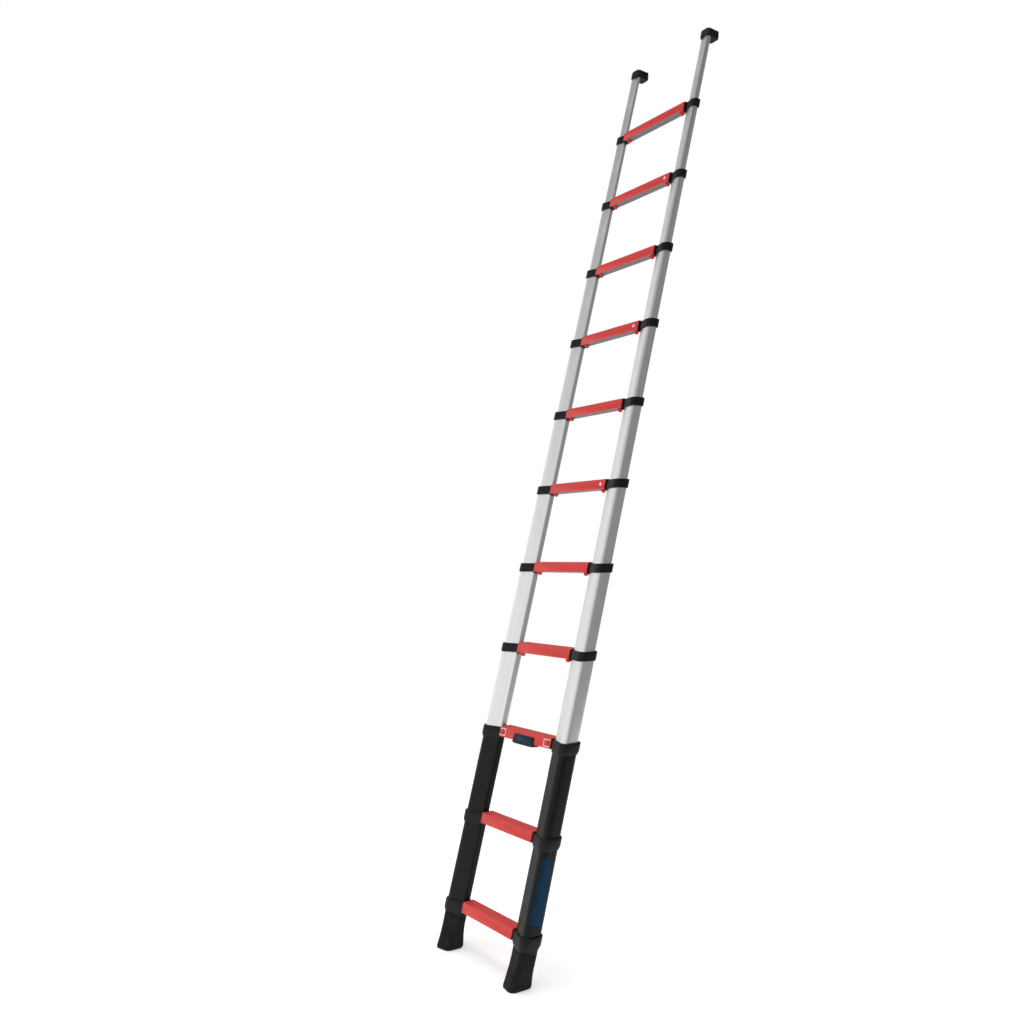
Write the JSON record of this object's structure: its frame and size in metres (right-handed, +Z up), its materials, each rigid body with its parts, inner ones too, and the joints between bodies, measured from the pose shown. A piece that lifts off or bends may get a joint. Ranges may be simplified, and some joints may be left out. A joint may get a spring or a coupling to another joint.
{
  "type": "telescoping ladder",
  "caption": "Leaning telescoping ladder, extended: tapering nested tube stiles, red rungs in black collars, release tabs and buttons, carrying handle, rubber boots and padded end caps.",
  "frame": {"origin": "on the floor, below the middle of the bounding box", "axes": "+Z up, +Y towards the wall that the ladder leans on, +X along the rungs to the right of a climber who faces the ladder"},
  "size_m": [0.483, 0.9784, 3.3556],
  "materials": {
    "red_coating": "red powder coat, satin, over aluminium",
    "black_coating": "black powder coat, satin, over aluminium",
    "aluminium": "drawn and anodised, satin",
    "black_plastic": "moulded, fine matte texture",
    "red_plastic": "moulded, satin",
    "rubber": "moulded, matte"
  },
  "bodies": {
    "base": {"foot_left": "rubber", "foot_right": "rubber", "outer_stile_left": "black_coating", "outer_stile_right": "black_coating", "collar_1_left": "black_plastic", "collar_1_right": "black_plastic", "collar_2_left": "black_plastic", "collar_2_right": "black_plastic", "collar_3_left": "black_plastic", "collar_3_right": "black_plastic", "rung_1": "red_coating", "rung_2": "red_coating", "rung_3": "red_coating", "carry_handle": "black_plastic"},
    "button_left": {"release_button_left": "red_plastic"},
    "button_right": {"release_button_right": "red_plastic"},
    "section_4": {"tube_4_left": "aluminium", "tube_4_right": "aluminium", "rung_4": "red_coating"},
    "section_5": {"tube_5_left": "aluminium", "tube_5_right": "aluminium", "rung_5": "red_coating"},
    "section_6": {"tube_6_left": "aluminium", "tube_6_right": "aluminium", "rung_6": "red_coating"},
    "section_7": {"tube_7_left": "aluminium", "tube_7_right": "aluminium", "rung_7": "red_coating"},
    "section_8": {"tube_8_left": "aluminium", "tube_8_right": "aluminium", "rung_8": "red_coating"},
    "section_9": {"tube_9_left": "aluminium", "tube_9_right": "aluminium", "rung_9": "red_coating"},
    "section_10": {"tube_10_left": "aluminium", "tube_10_right": "aluminium", "rung_10": "red_coating"},
    "section_11": {"tube_11_left": "aluminium", "tube_11_right": "aluminium", "rung_11": "red_coating"},
    "tab_4_left": {"release_tab_4_left": "red_plastic"},
    "tab_4_right": {"release_tab_4_right": "red_plastic"},
    "tab_5_left": {"release_tab_5_left": "red_plastic"},
    "tab_5_right": {"release_tab_5_right": "red_plastic"},
    "tab_6_left": {"release_tab_6_left": "red_plastic"},
    "tab_6_right": {"release_tab_6_right": "red_plastic"},
    "tab_7_left": {"release_tab_7_left": "red_plastic"},
    "tab_7_right": {"release_tab_7_right": "red_plastic"},
    "tab_8_left": {"release_tab_8_left": "red_plastic"},
    "tab_8_right": {"release_tab_8_right": "red_plastic"},
    "tab_9_left": {"release_tab_9_left": "red_plastic"},
    "tab_9_right": {"release_tab_9_right": "red_plastic"},
    "tab_10_left": {"release_tab_10_left": "red_plastic"},
    "tab_10_right": {"release_tab_10_right": "red_plastic"},
    "tab_11_left": {"release_tab_11_left": "red_plastic"},
    "tab_11_right": {"release_tab_11_right": "red_plastic"},
    "top_left": {"top_tube_left": "aluminium", "end_cap_left": "black_plastic"},
    "top_right": {"top_tube_right": "aluminium", "end_cap_right": "black_plastic"}
  },
  "joints": [
    {"name": "slide_4", "type": "slide", "parent": "base", "child": "section_4", "axis": [0, 0.2588, 0.9659], "range_m": [-0.247, 0]},
    {"name": "slide_5", "type": "slide", "parent": "section_4", "child": "section_5", "axis": [0, 0.2588, 0.9659], "range_m": [-0.247, 0]},
    {"name": "slide_6", "type": "slide", "parent": "section_5", "child": "section_6", "axis": [0, 0.2588, 0.9659], "range_m": [-0.247, 0]},
    {"name": "slide_7", "type": "slide", "parent": "section_6", "child": "section_7", "axis": [0, 0.2588, 0.9659], "range_m": [-0.247, 0]},
    {"name": "slide_8", "type": "slide", "parent": "section_7", "child": "section_8", "axis": [0, 0.2588, 0.9659], "range_m": [-0.247, 0]},
    {"name": "slide_9", "type": "slide", "parent": "section_8", "child": "section_9", "axis": [0, 0.2588, 0.9659], "range_m": [-0.247, 0]},
    {"name": "slide_10", "type": "slide", "parent": "section_9", "child": "section_10", "axis": [0, 0.2588, 0.9659], "range_m": [-0.247, 0]},
    {"name": "slide_11", "type": "slide", "parent": "section_10", "child": "section_11", "axis": [0, 0.2588, 0.9659], "range_m": [-0.247, 0]},
    {"name": "slide_top_left", "type": "slide", "parent": "section_11", "child": "top_left", "axis": [0, 0.2588, 0.9659], "range_m": [-0.247, 0]},
    {"name": "slide_top_right", "type": "slide", "parent": "section_11", "child": "top_right", "axis": [0, 0.2588, 0.9659], "range_m": [-0.247, 0]},
    {"name": "press_button_left", "type": "slide", "parent": "base", "child": "button_left", "axis": [1, 0, 0], "range_m": [0, 0.006], "stiffness_N_per_m": 400, "springref_m": -0.003},
    {"name": "press_button_right", "type": "slide", "parent": "base", "child": "button_right", "axis": [-1, 0, 0], "range_m": [0, 0.006], "stiffness_N_per_m": 400, "springref_m": -0.003},
    {"name": "press_tab_4_left", "type": "slide", "parent": "section_4", "child": "tab_4_left", "axis": [1, 0, 0], "range_m": [0, 0.006], "stiffness_N_per_m": 400, "springref_m": -0.003},
    {"name": "press_tab_4_right", "type": "slide", "parent": "section_4", "child": "tab_4_right", "axis": [-1, 0, 0], "range_m": [0, 0.006], "stiffness_N_per_m": 400, "springref_m": -0.003},
    {"name": "press_tab_5_left", "type": "slide", "parent": "section_5", "child": "tab_5_left", "axis": [1, 0, 0], "range_m": [0, 0.006], "stiffness_N_per_m": 400, "springref_m": -0.003},
    {"name": "press_tab_5_right", "type": "slide", "parent": "section_5", "child": "tab_5_right", "axis": [-1, 0, 0], "range_m": [0, 0.006], "stiffness_N_per_m": 400, "springref_m": -0.003},
    {"name": "press_tab_6_left", "type": "slide", "parent": "section_6", "child": "tab_6_left", "axis": [1, 0, 0], "range_m": [0, 0.006], "stiffness_N_per_m": 400, "springref_m": -0.003},
    {"name": "press_tab_6_right", "type": "slide", "parent": "section_6", "child": "tab_6_right", "axis": [-1, 0, 0], "range_m": [0, 0.006], "stiffness_N_per_m": 400, "springref_m": -0.003},
    {"name": "press_tab_7_left", "type": "slide", "parent": "section_7", "child": "tab_7_left", "axis": [1, 0, 0], "range_m": [0, 0.006], "stiffness_N_per_m": 400, "springref_m": -0.003},
    {"name": "press_tab_7_right", "type": "slide", "parent": "section_7", "child": "tab_7_right", "axis": [-1, 0, 0], "range_m": [0, 0.006], "stiffness_N_per_m": 400, "springref_m": -0.003},
    {"name": "press_tab_8_left", "type": "slide", "parent": "section_8", "child": "tab_8_left", "axis": [1, 0, 0], "range_m": [0, 0.006], "stiffness_N_per_m": 400, "springref_m": -0.003},
    {"name": "press_tab_8_right", "type": "slide", "parent": "section_8", "child": "tab_8_right", "axis": [-1, 0, 0], "range_m": [0, 0.006], "stiffness_N_per_m": 400, "springref_m": -0.003},
    {"name": "press_tab_9_left", "type": "slide", "parent": "section_9", "child": "tab_9_left", "axis": [1, 0, 0], "range_m": [0, 0.006], "stiffness_N_per_m": 400, "springref_m": -0.003},
    {"name": "press_tab_9_right", "type": "slide", "parent": "section_9", "child": "tab_9_right", "axis": [-1, 0, 0], "range_m": [0, 0.006], "stiffness_N_per_m": 400, "springref_m": -0.003},
    {"name": "press_tab_10_left", "type": "slide", "parent": "section_10", "child": "tab_10_left", "axis": [1, 0, 0], "range_m": [0, 0.006], "stiffness_N_per_m": 400, "springref_m": -0.003},
    {"name": "press_tab_10_right", "type": "slide", "parent": "section_10", "child": "tab_10_right", "axis": [-1, 0, 0], "range_m": [0, 0.006], "stiffness_N_per_m": 400, "springref_m": -0.003},
    {"name": "press_tab_11_left", "type": "slide", "parent": "section_11", "child": "tab_11_left", "axis": [1, 0, 0], "range_m": [0, 0.006], "stiffness_N_per_m": 400, "springref_m": -0.003},
    {"name": "press_tab_11_right", "type": "slide", "parent": "section_11", "child": "tab_11_right", "axis": [-1, 0, 0], "range_m": [0, 0.006], "stiffness_N_per_m": 400, "springref_m": -0.003}
  ]
}
